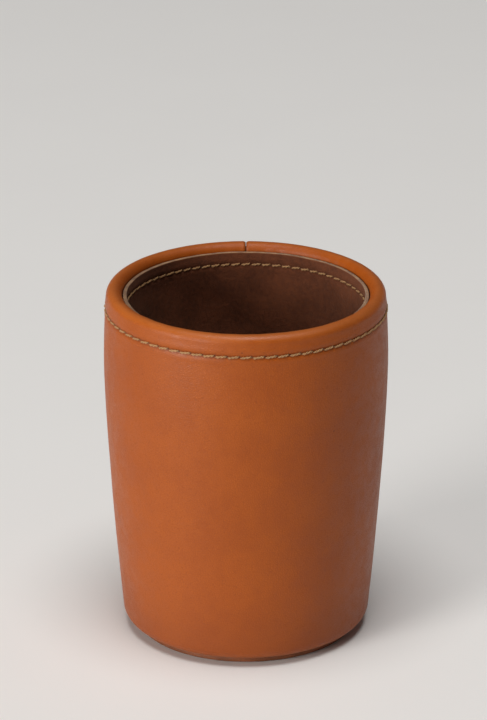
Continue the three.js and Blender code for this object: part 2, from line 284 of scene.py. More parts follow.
def ring_faces(rings, sides):
    """The point numbers of a stack of rings, and the four-sided faces between them."""
    index = np.arange(rings * sides).reshape(rings, sides)
    beside = np.roll(index, -1, axis=1)
    faces = np.stack([index[:-1], beside[:-1], beside[1:], index[1:]], axis=-1)
    return index, faces.reshape(-1, 4)


def thick_sheet(face, back, bulge, rounds=5):
    """A closed sheet between two grids of points, with rounded cut edges.

    Returns its points, its faces and how many of these lie on the two grids."""
    across, along = face.shape[:2]
    index = np.arange(across * along).reshape(across, along)
    front = grid_faces(index).reshape(-1, 4)
    behind = front[:, ::-1] + across * along

    away = np.zeros_like(face)
    away[0] += unit(face[0] - face[1])
    away[-1] += unit(face[-1] - face[-2])
    away[:, 0] += unit(face[:, 0] - face[:, 1])
    away[:, -1] += unit(face[:, -1] - face[:, -2])
    edge = np.concatenate([index[:-1, 0], index[-1, :-1], index[:0:-1, -1], index[0, :0:-1]])
    away = unit(away.reshape(-1, 3)[edge])
    top, bottom = face.reshape(-1, 3)[edge], back.reshape(-1, 3)[edge]
    rows, between = [edge], []
    for k in range(1, rounds):
        turn = math.pi * k / rounds
        between.append((top + bottom) / 2 + (top - bottom) / 2 * math.cos(turn)
                       + away * bulge * math.sin(turn))
        rows.append(2 * across * along + (k - 1) * len(edge) + np.arange(len(edge)))
    rows.append(edge + across * along)
    rim = []
    for upper, lower in zip(rows, rows[1:]):
        rim.append(np.stack([np.roll(upper, -1), upper, lower, np.roll(lower, -1)], axis=1))
    points = np.concatenate([face.reshape(-1, 3), back.reshape(-1, 3), *between])
    faces = np.concatenate([front, behind, *rim])
    return points, faces, 2 * len(front)


def turned_body(profile, columns, shape=None):
    """A closed body turned about the axis, from a profile that starts and ends on it.

    shape moves the grid of points before it is closed."""
    angles = np.arange(columns) * 2 * math.pi / columns
    grid = spin(profile[1:-1], angles).transpose(1, 0, 2)
    if shape:
        grid = shape(grid)
    index, quads = ring_faces(len(grid), columns)
    faces, low, high = quads.tolist(), index.size, index.size + 1
    faces += [[low, b, a] for a, b in zip(index[0], np.roll(index[0], -1))]
    faces += [[high, a, b] for a, b in zip(index[-1], np.roll(index[-1], -1))]
    poles = [[0, 0, grid[0, :, 2].mean()], [0, 0, grid[-1, :, 2].mean()]]
    return np.concatenate([grid.reshape(-1, 3), poles]), faces


def make_piece(name, points, faces, finishes, body, stands_for, masks=None, finish_of=None,
               place=None):
    """A smooth-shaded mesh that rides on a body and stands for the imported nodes.

    masks holds a value for each point, finish_of the number of each face's finish."""
    mesh = bpy.data.meshes.new(name)
    faces = faces.tolist() if isinstance(faces, np.ndarray) else faces
    mesh.from_pydata(points.tolist(), [], faces)
    mesh.polygons.foreach_set("use_smooth", [True] * len(faces))
    for finish in finishes:
        mesh.materials.append(finish)
    if finish_of is not None:
        mesh.polygons.foreach_set("material_index", np.asarray(finish_of, np.int32))
    for mask, values in (masks or {}).items():
        layer = mesh.attributes.new(mask, "FLOAT", "POINT")
        padded = np.zeros(len(points), np.float32)
        padded[: values.size] = values.ravel()
        layer.data.foreach_set("value", padded)
    mesh.update()
    piece = bpy.data.objects.new(name, mesh)
    bpy.context.collection.objects.link(piece)
    if place:
        piece.matrix_world = place
    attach(piece, body)
    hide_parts(*stands_for)
    return piece


# ---------------------------------------------------------------- nodes


def node(tree, kind, inputs=None, **settings):
    """A node with its settings, and its inputs set or linked."""
    made = tree.nodes.new("ShaderNode" + kind)
    for name, value in settings.items():
        setattr(made, name, value)
    for name, value in (inputs or {}).items():
        if isinstance(value, bpy.types.NodeSocket):
            tree.links.new(value, made.inputs[name])
        else:
            made.inputs[name].default_value = value
    return made


def calc(tree, kind, *values, clamp=False):
    """A Math node's result."""
    return node(tree, "Math", dict(enumerate(values)), operation=kind, use_clamp=clamp).outputs[0]


def weighted(tree, *parts, start=0.0):
    """A start value plus other values, each times its weight."""
    total = start
    for value, weight in parts:
        total = calc(tree, "MULTIPLY_ADD", value, weight, total)
    return total


def remap(tree, value, low, high, to_low=0.0, to_high=1.0):
    """A value brought smoothly from one range to another."""
    inputs = {"Value": value, "From Min": low, "From Max": high,
              "To Min": to_low, "To Max": to_high}
    return node(tree, "MapRange", inputs, interpolation_type="SMOOTHSTEP").outputs["Result"]


def tint(tree, amount, first, second):
    """Two colours mixed by an amount."""
    inputs = {0: amount}
    for place, value in ((6, first), (7, second)):
        inputs[place] = value if isinstance(value, bpy.types.NodeSocket) else (*value, 1.0)
    return node(tree, "Mix", inputs, data_type="RGBA").outputs[2]


def over(tree, base, amount, strength, shade):
    """A colour with one of SHADES laid over it, by an amount times a strength."""
    return tint(tree, calc(tree, "MULTIPLY", amount, strength), base, SHADES[shade])


def scaled(factor, rgb):
    return tuple(factor * value for value in rgb)


def moved(tree, kind, first, second):
    """A VectorMath node's result."""
    return node(tree, "VectorMath", {0: first, 1: second}, operation=kind).outputs[0]


def cloud(tree, where, scale, detail=2.0, roughness=0.5):
    """Noise from about 0 to 1."""
    inputs = {"Vector": where, "Scale": scale, "Detail": detail, "Roughness": roughness}
    return node(tree, "TexNoise", inputs).outputs[0]


def mask_of(tree, name):
    """One of the masks that a piece's points carry."""
    return node(tree, "Attribute", attribute_name=name).outputs["Fac"]


def new_group(name, inputs, outputs):
    """A shader node group with named sockets, and its two ends."""
    tree = bpy.data.node_groups.new(name, "ShaderNodeTree")
    for socket, default in inputs.items():
        kind = "NodeSocketVector" if default is None else "NodeSocketFloat"
        made = tree.interface.new_socket(socket, in_out="INPUT", socket_type=kind)
        if default is not None:
            made.default_value = default
    for socket in outputs:
        tree.interface.new_socket(socket, in_out="OUTPUT", socket_type="NodeSocketFloat")
    return tree, tree.nodes.new("NodeGroupInput").outputs, tree.nodes.new("NodeGroupOutput").inputs


def use_group(tree, name, **inputs):
    """A node group placed in a material with its own values; returns its outputs."""
    group = bpy.data.node_groups.get(name) or EFFECTS[name](name)
    values = {socket.capitalize(): value for socket, value in inputs.items()}
    return node(tree, "Group", values, node_tree=group).outputs


def pebble_grain(name):
    """Pebbles of a width, parted by fine creases, as on smooth leather."""
    tree, given, result = new_group(name, {"Vector": None, "Width": 0.0005}, ["Height", "Crease"])
    scale = calc(tree, "DIVIDE", 1.0, given["Width"])
    wobble = node(tree, "TexNoise", {"Vector": given["Vector"], "Detail": 1.0,
                                     "Scale": calc(tree, "MULTIPLY", scale, 0.4)})
    push = moved(tree, "SUBTRACT", wobble.outputs["Color"], (0.5, 0.5, 0.5))
    reach = calc(tree, "MULTIPLY", given["Width"], 1.5)
    push = node(tree, "VectorMath", {0: push, "Scale": reach}, operation="SCALE").outputs[0]
    where = moved(tree, "ADD", given["Vector"], push)
    large, small = (node(tree, "TexVoronoi", {"Vector": where, "Scale": size},
                         feature="DISTANCE_TO_EDGE").outputs["Distance"]
                    for size in (scale, calc(tree, "MULTIPLY", scale, 2.3)))
    height = weighted(tree, (remap(tree, large, -0.10, 0.42), 0.78),
                      (remap(tree, small, -0.08, 0.36), 0.22))
    tree.links.new(height, result["Height"])
    tree.links.new(remap(tree, large, 0.0, 0.10, 1.0, 0.0), result["Crease"])
    return tree


def mottling(name):
    """Soft uneven colour with patches of a width."""
    tree, given, result = new_group(name, {"Vector": None, "Width": 0.02}, ["Amount"])
    scale = calc(tree, "DIVIDE", 1.0, given["Width"])
    patches = cloud(tree, given["Vector"], scale, detail=4.0, roughness=0.55)
    tree.links.new(remap(tree, patches, 0.33, 0.67), result["Amount"])
    return tree


def fibres(name):
    """Fine hairs that cross each other, as in suede, felt or a cut edge."""
    tree, given, result = new_group(name, {"Vector": None, "Length": 0.001, "Width": 0.0001},
                                    ["Height", "Strand"])
    along = calc(tree, "DIVIDE", 1.0, given["Length"])
    across = calc(tree, "DIVIDE", 1.0, given["Width"])
    stretch = node(tree, "CombineXYZ", {"X": across, "Y": across, "Z": along}).outputs[0]
    layers = []
    for turn in ((0.3, 0.2, 0.6), (-0.7, 0.5, -0.9), (1.1, -0.6, 2.2)):
        turned = node(tree, "VectorRotate", {"Vector": given["Vector"], "Rotation": turn},
                      rotation_type="EULER_XYZ").outputs[0]
        layers.append(cloud(tree, moved(tree, "MULTIPLY", turned, stretch), 1.0))
    height = calc(tree, "MAXIMUM", calc(tree, "MAXIMUM", layers[0], layers[1]), layers[2])
    tree.links.new(remap(tree, height, 0.42, 0.78), result["Height"])
    tree.links.new(remap(tree, layers[0], 0.52, 0.72), result["Strand"])
    return tree


def rub_wear(name):
    """A mask broken up by noise, for edges that hands and table tops have rubbed."""
    tree, given, result = new_group(name, {"Vector": None, "Mask": 0.0, "Width": 0.003}, ["Amount"])
    scale = calc(tree, "DIVIDE", 1.0, given["Width"])
    patches = cloud(tree, given["Vector"], scale, detail=5.0, roughness=0.65)
    broken = calc(tree, "ADD", given["Mask"], calc(tree, "SUBTRACT", patches, 0.5))
    worn = calc(tree, "MULTIPLY", remap(tree, broken, 0.35, 1.0), given["Mask"])
    tree.links.new(worn, result["Amount"])
    return tree


def specks(name):
    """Small scattered marks, a few to each patch of a spacing."""
    tree, given, result = new_group(name, {"Vector": None, "Spacing": 0.006, "Size": 0.05},
                                    ["Amount"])
    scale = calc(tree, "DIVIDE", 1.0, given["Spacing"])
    cells = node(tree, "TexVoronoi", {"Vector": given["Vector"], "Scale": scale})
    near = calc(tree, "DIVIDE", cells.outputs["Distance"], given["Size"])
    pick = node(tree, "SeparateColor", {"Color": cells.outputs["Color"]}).outputs[0]
    dots = calc(tree, "MULTIPLY", remap(tree, near, 0.5, 1.0, 1.0, 0.0),
                remap(tree, pick, 0.55, 0.6))
    tree.links.new(dots, result["Amount"])
    return tree


EFFECTS = {
    "Pebble grain": pebble_grain,
    "Mottling": mottling,
    "Fibres": fibres,
    "Rub wear": rub_wear,
    "Specks": specks,
}

# Colours laid over a finish's own colour: wear, fibres, marks and dust, and painted shade in grain
# creases, stitch recesses and the sole's stitch channel.
SHADES = {
    "leather crease shade": (0.17, 0.033, 0.006),
    "rubbed leather": (0.47, 0.14, 0.032),
    "leather recess shade": (0.115, 0.022, 0.005),
    "leather mark": (0.10, 0.022, 0.006),
    "raised nap": (0.26, 0.105, 0.055),
    "suede recess shade": (0.045, 0.014, 0.007),
    "felt dust": (0.20, 0.16, 0.12),
    "sole crease shade": (0.08, 0.022, 0.006),
    "sole channel shade": (0.05, 0.014, 0.005),
    "thread fibre": (0.60, 0.36, 0.17),
    "rubbed ivory": (0.62, 0.50, 0.32),
    "pip dust": (0.16, 0.13, 0.09),
}
# Painted shade for the bottom of the leather wall, and the height at which it fades out.
LOW_WALL_SHADE, LOW_WALL_SHADE_HEIGHT = (0.155, 0.031, 0.006), 0.024
SCUFF_SHADE = (0.34, 0.16, 0.07)
# Painted shade on the thread where it sinks into a hole.
THREAD_HOLE_SHADE = (0.10, 0.032, 0.010)
EDGE_SHADES = (0.13, 0.032, 0.009), (0.22, 0.070, 0.020)
SUEDE_EDGE_SHADE, SUEDE_FIBRE = (0.20, 0.095, 0.045), (0.50, 0.34, 0.20)
BOARD_FIBRE = (0.40, 0.29, 0.17)


# The Principled shader's sockets that finishes set.
SOCKETS = {
    "roughness": "Roughness",
    "ior": "IOR",
    "specular": "Specular IOR Level",
    "sheen": "Sheen Weight",
    "sheen_roughness": "Sheen Roughness",
    "sheen_tint": "Sheen Tint",
    "subsurface": "Subsurface Weight",
    "subsurface_radius": "Subsurface Radius",
    "subsurface_scale": "Subsurface Scale",
}


def mottled(tree, where, width):
    return use_group(tree, "Mottling", vector=where, width=width)["Amount"]


def hairs_of(tree, where, length, width):
    return use_group(tree, "Fibres", vector=where, length=length, width=width)


def rubbed(tree, where, mask, width):
    mask = mask_of(tree, mask)
    return use_group(tree, "Rub wear", vector=where, mask=mask, width=width)["Amount"]


def new_finish(**settings):
    """A material with a Principled shader; settings go on the shader's own sockets."""
    finish = bpy.data.materials.new("finish")
    finish.use_nodes = True
    tree = finish.node_tree
    shader = tree.nodes["Principled BSDF"]
    for name, value in settings.items():
        shader.inputs[SOCKETS[name]].default_value = value
    where = node(tree, "TexCoord").outputs["Object"]
    return finish, tree, shader, where


def emboss(tree, shader, height, depth):
    """Raises the surface by a depth where the height is 1."""
    bump = node(tree, "Bump", {"Height": height, "Distance": depth, "Strength": 1.0})
    tree.links.new(bump.outputs[0], shader.inputs["Normal"])


def plug(tree, shader, base, rough=None):
    """Links a colour, and a roughness that varies, to the shader."""
    tree.links.new(base, shader.inputs["Base Color"])
    if rough is not None:
        tree.links.new(rough, shader.inputs["Roughness"])


def fibrous(shades, fibre_shade, fibre, patch, rough, depth, **settings):
    """A finish of two shades in patches, half covered by raised fibres of a third."""
    finish, tree, shader, where = new_finish(**settings)
    hairs, patches = hairs_of(tree, where, *fibre), mottled(tree, where, patch)
    strands = calc(tree, "MULTIPLY", hairs["Strand"], 0.5)
    plug(tree, shader, tint(tree, strands, tint(tree, patches, *shades), fibre_shade),
         remap(tree, patches, 0, 1, *rough))
    emboss(tree, shader, hairs["Height"], depth)
    return finish


def made_once(build):
    """Builds a finish the first time, and finds it again after that."""
    name = build.__name__ + "_finish"

    def finish():
        if name not in bpy.data.materials:
            build(bpy.context.scene.cup_finishes).name = name
        return bpy.data.materials[name]

    return finish


@made_once
def smooth_leather(c):
    """Tan full-grain leather with a satin sheen, with painted shade in its grain creases, along its
    stitch rows and its slit, and towards the bottom of the wall.
    """
    finish, tree, shader, where = new_finish(roughness=0.46, ior=1.5, specular=0.34)
    grain = use_group(tree, "Pebble grain", vector=where, width=c.leather_grain)
    patches, flecks = mottled(tree, where, 0.017), mottled(tree, where, 0.0032)
    worn = rubbed(tree, where, "worn", 0.004)
    marks = use_group(tree, "Specks", vector=where, spacing=0.0085, size=0.035)["Amount"]
    height = node(tree, "SeparateXYZ", {0: where}).outputs["Z"]

    base = tint(tree, weighted(tree, (patches, 0.62), (flecks, 0.38)), c.leather_shade, c.leather)
    # painted shade: the grain's creases are darkened
    base = over(tree, base, grain["Crease"], 0.30, "leather crease shade")
    base = over(tree, base, worn, 0.45, "rubbed leather")
    # painted shade along the stitch rows and in the slit between the sheet's ends
    base = over(tree, base, mask_of(tree, "recess_shade"), 0.55, "leather recess shade")
    base = over(tree, base, marks, 0.6, "leather mark")
    # painted shade: the leather darkens towards the bottom of the wall
    base = tint(tree, remap(tree, height, 0.0, LOW_WALL_SHADE_HEIGHT, 0.32, 0.0), base, LOW_WALL_SHADE)

    rough = weighted(tree, (flecks, 0.12), (grain["Crease"], 0.14), (worn, -0.08),
                     start=c.leather_gloss - 0.05)
    plug(tree, shader, base, rough)
    emboss(tree, shader, weighted(tree, (marks, -0.8), start=grain["Height"]), 0.036 * MM)
    return finish


@made_once
def cut_leather_edge(c):
    """The dyed and rubbed cut edge of the outer leather."""
    return fibrous(EDGE_SHADES, c.raw_edge, fibre=(0.0012, 0.00012), patch=0.0015,
                   rough=(0.5, 0.75), depth=0.04 * MM, roughness=0.6)


@made_once
def suede(c):
    """Reddish brown suede with a short nap, brushed in patches."""
    finish, tree, shader, where = new_finish(roughness=0.95, specular=0.25, sheen=0.16,
                                             sheen_roughness=0.4, sheen_tint=(1.0, 0.62, 0.42, 1.0))
    nap = hairs_of(tree, where, 0.0007, 0.00009)
    strokes, tufts = mottled(tree, where, 0.011), mottled(tree, where, 0.0011)
    base = tint(tree, weighted(tree, (strokes, 0.6), (tufts, 0.4)), c.suede_shade, c.suede)
    base = over(tree, base, nap["Strand"], 0.35, "raised nap")
    # painted shade along the inner row of stitches and in the lining's slit
    base = over(tree, base, mask_of(tree, "recess_shade"), 0.5, "suede recess shade")
    plug(tree, shader, base, remap(tree, tufts, 0, 1, 0.85, 1.0))
    emboss(tree, shader, calc(tree, "ADD", nap["Height"], tufts), 0.06 * MM)
    return finish


@made_once
def cut_suede_edge(c):
    """The pale fibres of the lining's cut edge."""
    return fibrous((SUEDE_EDGE_SHADE, c.raw_edge), SUEDE_FIBRE, fibre=(0.0006, 0.0001),
                   patch=0.0025, rough=(0.85, 1.0), depth=0.07 * MM, roughness=0.95, sheen=0.2)


@made_once
def felt(c):
    """Dark wool felt with stray light fibres and a little dust."""
    finish, tree, shader, where = new_finish(roughness=1.0, specular=0.15, sheen=0.2,
                                             sheen_roughness=0.5, sheen_tint=(1.0, 0.9, 0.8, 1.0))
    hairs = hairs_of(tree, where, 0.0019, 0.00011)
    patches, tufts = mottled(tree, where, 0.004), mottled(tree, where, 0.0009)
    dust = use_group(tree, "Specks", vector=where, spacing=0.0024, size=0.05)["Amount"]
    base = tint(tree, calc(tree, "MULTIPLY", tufts, 0.35), c.felt, c.felt_light)
    base = tint(tree, calc(tree, "MULTIPLY", hairs["Strand"], 0.8), base, c.felt_light)
    base = over(tree, base, dust, 0.5, "felt dust")
    plug(tree, shader, base, remap(tree, patches, 0, 1, 0.92, 1.0))
    emboss(tree, shader, calc(tree, "ADD", hairs["Height"], tufts), 0.20 * MM)
    return finish


@made_once
def sole_leather(c):
    """Thick dark leather, scuffed lighter at its rubbed edge and where it stands, with painted
    shade in its grain creases and its stitch channel.
    """
    finish, tree, shader, where = new_finish(roughness=0.6)
    grain = use_group(tree, "Pebble grain", vector=where, width=0.0009)
    hairs = hairs_of(tree, where, 0.004, 0.00016)
    strands = calc(tree, "ADD", 0.35, hairs["Strand"], clamp=True)
    scuffs = calc(tree, "MULTIPLY", rubbed(tree, where, "worn", 0.006), strands)
    base = tint(tree, mottled(tree, where, 0.009), scaled(0.78, c.sole), scaled(1.2, c.sole))
    # painted shade: the grain's creases are darkened
    base = over(tree, base, grain["Crease"], 0.35, "sole crease shade")
    base = tint(tree, scuffs, base, SCUFF_SHADE)
    # painted shade in the stitch channel
    base = over(tree, base, mask_of(tree, "recess_shade"), 0.75, "sole channel shade")
    plug(tree, shader, base, remap(tree, scuffs, 0, 1, 0.55, 0.85))
    emboss(tree, shader, calc(tree, "SUBTRACT", grain["Height"], scuffs), 0.05 * MM)
    return finish


@made_once
def board(c):
    """Pressed leatherboard: short fibres and flecks in a dull sheet."""
    return fibrous((scaled(0.7, c.board), c.board), BOARD_FIBRE, fibre=(0.0025, 0.0002),
                   patch=0.0014, rough=(0.8, 0.95), depth=0.06 * MM, roughness=0.9)


@made_once
def waxed_thread(c):
    """Twisted thread, with painted shade between its plies and where it sinks into a hole."""
    finish, tree, shader, where = new_finish(roughness=0.6, sheen=0.1)
    hairs = hairs_of(tree, where, 0.0006, 0.00005)
    patches = mottled(tree, where, 0.006)
    base = tint(tree, patches, scaled(0.82, c.thread), c.thread)
    base = over(tree, base, hairs["Strand"], 0.25, "thread fibre")
    # painted shade in the groove between the plies
    base = tint(tree, calc(tree, "MULTIPLY", mask_of(tree, "ply_shade"), 0.8), base, c.thread_ply_shade)
    # painted shade where the thread sinks into a hole
    base = tint(tree, mask_of(tree, "hole_shade"), base, THREAD_HOLE_SHADE)
    plug(tree, shader, base, remap(tree, patches, 0, 1, 0.5, 0.68))
    emboss(tree, shader, hairs["Height"], 0.03 * MM)
    return finish


@made_once
def ivory_plastic(c):
    """Polished ivory-coloured plastic with faint clouds and fine scratches."""
    finish, tree, shader, where = new_finish(roughness=0.25, ior=1.52, subsurface=0.2,
                                             subsurface_radius=(0.0016, 0.0011, 0.0006),
                                             subsurface_scale=1.0)
    clouds = mottled(tree, where, 0.006)
    scratches = hairs_of(tree, where, 0.006, 0.00007)["Strand"]
    worn = rubbed(tree, where, "worn", 0.002)
    base = over(tree, tint(tree, clouds, c.ivory_shade, c.ivory), worn, 0.35, "rubbed ivory")
    polish = remap(tree, clouds, 0, 1, 0.22, 0.28)
    plug(tree, shader, base, weighted(tree, (scratches, 0.10), (worn, 0.15), start=polish))
    emboss(tree, shader, scratches, 0.004 * MM)
    return finish


@made_once
def pip_paint(c):
    """Black paint in the drilled pips, with dust at the rim."""
    finish, tree, shader, where = new_finish(roughness=0.7, specular=0.25)
    patches = mottled(tree, where, 0.0007)
    base = tint(tree, patches, scaled(0.7, c.pip_paint), c.pip_paint)
    base = over(tree, base, rubbed(tree, where, "rim", 0.0006), 0.5, "pip dust")
    plug(tree, shader, base, remap(tree, patches, 0, 1, 0.6, 0.8))
    emboss(tree, shader, patches, 0.01 * MM)
    return finish


@made_once
def studio_floor(c):
    """Plain pale paper floor."""
    finish, tree, shader, where = new_finish(roughness=0.85, specular=0.2)
    pale = bpy.context.scene.cup_studio.floor
    plug(tree, shader, tint(tree, mottled(tree, where, 0.05), scaled(0.993, pale), pale))
    return finish


# ---------------------------------------------------------------- pieces


def stitch_holes(form, row):
    """The needle holes of a row of stitches, and the way out of the leather at each."""
    stitch = bpy.context.scene.cup_stitches
    low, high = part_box(row)
    thread = (high.z - low.z) / 2
    middle = (low + high) / 2
    if row.startswith("seam"):
        up = np.linspace(low.z, high.z, stitch.seam_count + 1)
        across = np.full_like(up, middle.x)
        away = np.sqrt(form.radius(up) ** 2 - across**2)
        holes = np.stack([across, away, up], axis=1)
        return holes, unit(holes * (1, 1, 0))
    count = stitch.base_count if row == "base_stitch" else stitch.rim_count
    turn = math.pi / 2 + 2 * math.pi * (np.arange(count + 1) + 0.5) / count
    round_ = np.stack([np.cos(turn), np.sin(turn), 0 * turn], axis=1)
    holes = round_ * (high.x - thread) + (0, 0, middle.z)
    if row == "base_stitch":
        return holes, np.tile((0.0, 0.0, -1.0), (len(holes), 1))
    return holes, round_ if row == "rim_stitch_outer" else -round_


def row_height(row):
    """Height of a level row of stitches."""
    low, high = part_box(row)
    return (low.z + high.z) / 2


def stitch_row(holes, away, seed, rings=27, sides=12):
    """Stitches of two-ply thread that dip into the holes of a row."""
    s = bpy.context.scene.cup_stitches
    chance = np.random.default_rng(seed)
    start, stop = holes[:-1], holes[1:]
    count = len(start)
    middle, half = (start + stop) / 2, (stop - start) / 2
    along = unit(half)
    up = unit(away[:-1] + away[1:])
    side = np.cross(up, along)
    reach = np.linalg.norm(half, axis=1) - 0.10 * MM
    v = np.linspace(-1, 1, rings)
    v = 0.55 * v + 0.45 * np.sin(v * math.pi / 2)
    lift = (0.02 + 0.03 * chance.random((count, 1))) * MM
    slant = s.slant * (0.8 + 0.4 * chance.random((count, 1)))
    height = lift - (lift + s.dip) * np.abs(v) ** 7
    centre = (middle[:, None] + along[:, None] * (reach[:, None] * v)[..., None]
              + up[:, None] * height[..., None] + side[:, None] * (slant * v)[..., None])
    tangent = unit(np.gradient(centre, axis=1))
    across = unit(np.cross(up[:, None] + 0 * tangent, tangent))
    rise = np.cross(tangent, across)
    run = np.linalg.norm(np.diff(centre, axis=1), axis=2)
    run = np.concatenate([np.zeros((count, 1)), np.cumsum(run, axis=1)], axis=1)
    twist = -2 * math.pi * run / s.lay + 2 * math.pi * chance.random((count, 1))
    around = np.arange(sides) * 2 * math.pi / sides
    bend = around - twist[..., None]
    apart = 0.80 * s.ply
    radius = apart * np.abs(np.cos(bend)) + np.sqrt(s.ply**2 - (apart * np.sin(bend)) ** 2)
    radius = radius * (1 - 0.25 * np.abs(v) ** 6)[None, :, None]
    points = (centre[:, :, None] + across[:, :, None] * (radius * np.cos(around))[..., None]
              + rise[:, :, None] * (0.94 * radius * np.sin(around))[..., None])

    index, quads = ring_faces(rings, sides)
    faces = []
    for first in np.arange(count) * index.size:
        faces += (quads + first).tolist()
        faces += [(index[0, ::-1] + first).tolist(), (index[-1] + first).tolist()]
    # masks for painted shade: where the thread sinks into a hole, and in the groove between the
    # plies
    hole_shade = np.clip(-height / s.dip * 1.6, 0, 1)[..., None] + 0 * bend
    ply_shade = np.abs(np.sin(bend)) ** 6
    return points.reshape(-1, 3), faces, {"hole_shade": hole_shade, "ply_shade": ply_shade}


def valleys(points, rows, form):
    """How strongly each point is pulled in by rows of stitches, most at the needle holes."""
    pull, reach = np.zeros(points.shape[:-1]), 3 * MM
    for row in rows:
        holes = stitch_holes(form, row)[0]
        start, step = holes[:-1], np.diff(holes, axis=0)
        near = np.full(points.shape[:-1], 1.0)
        pinch = np.full(points.shape[:-1], 1.0)
        if row.startswith("seam"):
            band = (np.abs(points[..., 0] - holes[0, 0]) < reach) & (points[..., 1] > 0)
        else:
            band = np.abs(points[..., 2] - holes[0, 2]) < reach
        some = points[band]
        nearest = np.full(len(some), 1.0)
        to_hole = np.full(len(some), 1.0)
        for a, d in zip(start, step):
            rel = some - a
            t = np.clip(rel @ d / (d @ d), 0, 1)
            nearest = np.minimum(nearest, np.linalg.norm(rel - t[:, None] * d, axis=1))
            to_hole = np.minimum(to_hole, np.linalg.norm(rel, axis=1))
        to_hole = np.minimum(to_hole, np.linalg.norm(some - holes[-1], axis=1))
        near[band], pinch[band] = nearest, to_hole
        row_pull = 0.8 * hump(near, 0.55 * MM) + 0.45 * hump(pinch, 0.5 * MM)
        row_pull -= 0.25 * hump(near - 1.5 * MM, 0.7 * MM)
        pull += row_pull
    return pull


def leather_shell(form):
    """The outer leather: one sheet turned over the rim and under the base."""
    s = form.sizes
    hem_x = np.linspace(form.base_hem_radius, form.edge_x, HEM_STEPS + 1)[:-1]
    level = np.full_like(hem_x, form.underside)
    lean = math.degrees(form.lean)
    stitch_z = row_height("rim_stitch_outer")
    low = np.linspace(form.edge_top, stitch_z - 2.6 * MM, 78)[1:]
    near = np.linspace(stitch_z - 2.6 * MM, form.lip_middle, 25)[1:-1]
    heights = np.concatenate([low, near])
    inside = np.linspace(form.lip_middle, form.height - s.hem_depth, 12)[1:]
    lip_x = form.radius(form.lip_middle) - s.lip_width / 2
    hollow = s.lip_width - s.leather - s.hem
    hollow_x = form.radius(form.lip_middle) - s.leather - hollow / 2
    face = np.concatenate([
        np.stack([hem_x, level], axis=1),
        arc(form.edge_x, form.edge_z, s.edge_round, -90, -lean, EDGE_STEPS),
        form.wall(0, heights),
        arc(lip_x, form.lip_middle, s.lip_width / 2, 0, 180, LIP_STEPS),
        form.wall(s.lip_width, inside),
    ])
    back = np.concatenate([
        np.stack([hem_x, level + s.leather], axis=1),
        arc(form.edge_x, form.edge_z, s.edge_round - s.leather, -90, -lean, EDGE_STEPS),
        form.wall(s.leather, heights),
        arc(hollow_x, form.lip_middle, hollow / 2, 0, 180, LIP_STEPS),
        form.wall(s.lip_width - s.hem, inside),
    ])
    half_slit = s.slit / 2 / form.belly
    angles = sheet_angles(s.columns, half_slit, math.pi / 2, 0.16, 0.0066)
    points = spin(face, angles)
    normal = spin(outward(face), angles)
    station = np.arange(len(face))
    lower_edge = HEM_STEPS + EDGE_STEPS // 2
    lip_start = HEM_STEPS + EDGE_STEPS + 1 + len(heights)
    lip_crest = lip_start + 7
    past_lip = station >= lip_start

    on_wall = fade(face[:, 1], 0.006, 0.014) * ~past_lip
    wave = 0.10 * MM * ripple(points, 0.024, 1) + 0.035 * MM * ripple(points, 0.008, 2)
    wave += 0.012 * MM * ripple(points, 0.0028, 3)
    shift = wave * (0.35 + 0.65 * on_wall)
    # small pleats where the turned leather is gathered, inside the rim and under the base
    turn_in = np.clip((station - lip_start - 5) / (LIP_STEPS / 2), 0, 1) * past_lip
    fold = spin(np.stack([0 * face[:, 0] + 0.036, face[:, 1] * 0.25], axis=1), angles)
    shift += 0.10 * MM * ripple(fold, 0.0024, 4) * turn_in
    under_edge = np.clip((lower_edge - station) / 8, 0, 1)
    shift += 0.14 * MM * ripple(fold, 0.0030, 5) * under_edge
    # the two ends round down into the slit
    gap = np.minimum(angles - angles[0], angles[-1] - angles)[:, None] * form.belly
    shift -= 0.22 * MM * hump(gap, 0.34 * MM)
    pull = valleys(points, ["rim_stitch_outer", "seam_stitch_left", "seam_stitch_right"], form)
    pull = pull * ~(past_lip & (face[:, 1] < form.lip_middle))
    shift -= bpy.context.scene.cup_stitches.valley * pull
    points = points + normal * shift[..., None]

    worn = np.zeros(points.shape[:2])
    worn += hump(station - lip_crest, 7)
    worn += 0.8 * hump(station - lower_edge, 5)
    # mask of painted shade along the stitch valleys and the slit
    recess_shade = np.clip(pull, 0, 1) * 0.8 + 0.6 * hump(gap, 0.35 * MM)
    parts = thick_sheet(points, spin(back, angles), 0.10 * MM)
    return parts, {"worn": np.clip(worn, 0, 1), "recess_shade": np.clip(recess_shade, 0, 1)}


